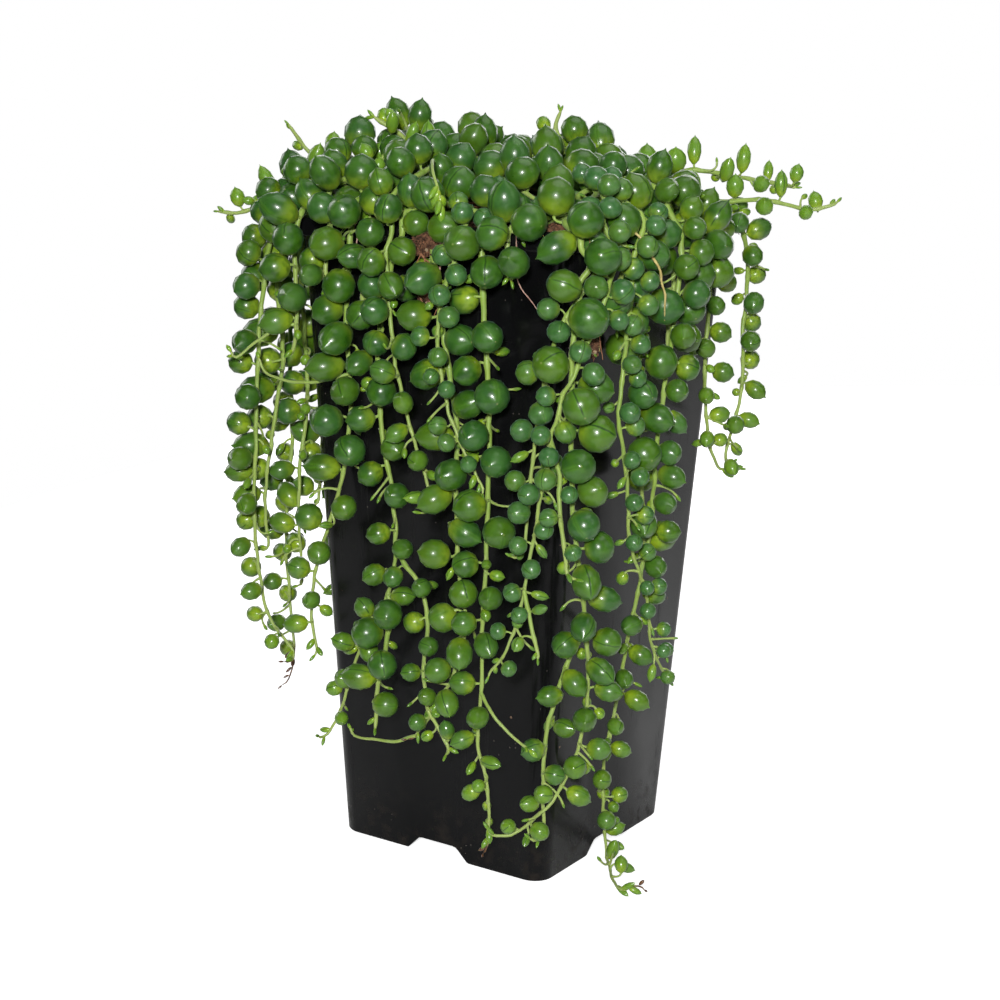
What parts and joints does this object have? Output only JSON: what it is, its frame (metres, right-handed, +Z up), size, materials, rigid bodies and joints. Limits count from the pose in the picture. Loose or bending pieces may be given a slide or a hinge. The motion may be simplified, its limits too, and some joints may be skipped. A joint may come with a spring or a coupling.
{
  "type": "potted string of pearls plant",
  "caption": "Trailing succulent with round bead-like leaves on thin stems, rooted in a tall square tapered plastic pot and hanging down over its rim.",
  "frame": {"origin": "middle of the pot's foot, on the surface it stands on", "axes": "+Z straight up along the pot; X and Y square to the pot's walls, with the fullest side at -Y and the next at +X"},
  "size_m": [0.1746, 0.1487, 0.2502],
  "materials": {
    "pot_plastic": "satin",
    "potting_mix": "matte",
    "leaf_green": "satin",
    "leaf_blue_green": "satin",
    "leaf_young": "satin"
  },
  "bodies": {
    "root": {"pot": "pot_plastic", "potting_mix": "potting_mix", "vine_front_01": "leaf_green", "vine_front_02": "leaf_green", "vine_front_03": "leaf_green", "vine_front_04": "leaf_green", "vine_front_05": "leaf_blue_green", "vine_front_06": "leaf_green", "vine_front_07": "leaf_green", "vine_front_08": "leaf_blue_green", "vine_front_09": "leaf_blue_green", "vine_front_10": "leaf_green", "vine_front_11": "leaf_green", "vine_front_12": "leaf_green", "vine_corner": "leaf_green", "vine_right_01": "leaf_blue_green", "vine_right_02": "leaf_green", "vine_right_03": "leaf_green", "vine_right_04": "leaf_green", "vine_right_05": "leaf_green", "vine_right_06": "leaf_green", "vine_right_07": "leaf_green", "vine_right_08": "leaf_green", "vine_right_09": "leaf_green", "vine_left_01": "leaf_green", "vine_left_02": "leaf_green", "vine_left_03": "leaf_green", "vine_left_04": "leaf_green", "vine_left_05": "leaf_green", "vine_left_06": "leaf_green", "vine_left_07": "leaf_green", "vine_left_08": "leaf_green", "vine_left_09": "leaf_green", "vine_back_01": "leaf_green", "vine_back_02": "leaf_green", "vine_back_03": "leaf_blue_green", "vine_back_04": "leaf_green", "vine_back_05": "leaf_green", "vine_back_06": "leaf_green", "shoot_left_low": "leaf_young", "shoot_left_high": "leaf_young", "shoot_right_high": "leaf_young", "shoot_right_low": "leaf_young", "crown_vine_01": "leaf_green", "crown_vine_02": "leaf_green", "crown_vine_03": "leaf_green", "crown_vine_04": "leaf_green", "crown_vine_05": "leaf_green", "crown_vine_06": "leaf_green", "crown_vine_07": "leaf_green", "crown_vine_08": "leaf_green", "crown_vine_09": "leaf_green", "crown_vine_10": "leaf_green", "crown_vine_11": "leaf_green", "crown_vine_12": "leaf_green", "crown_vine_13": "leaf_green", "crown_shoot_01": "leaf_young", "crown_shoot_02": "leaf_young", "crown_shoot_03": "leaf_young"}
  },
  "joints": []
}
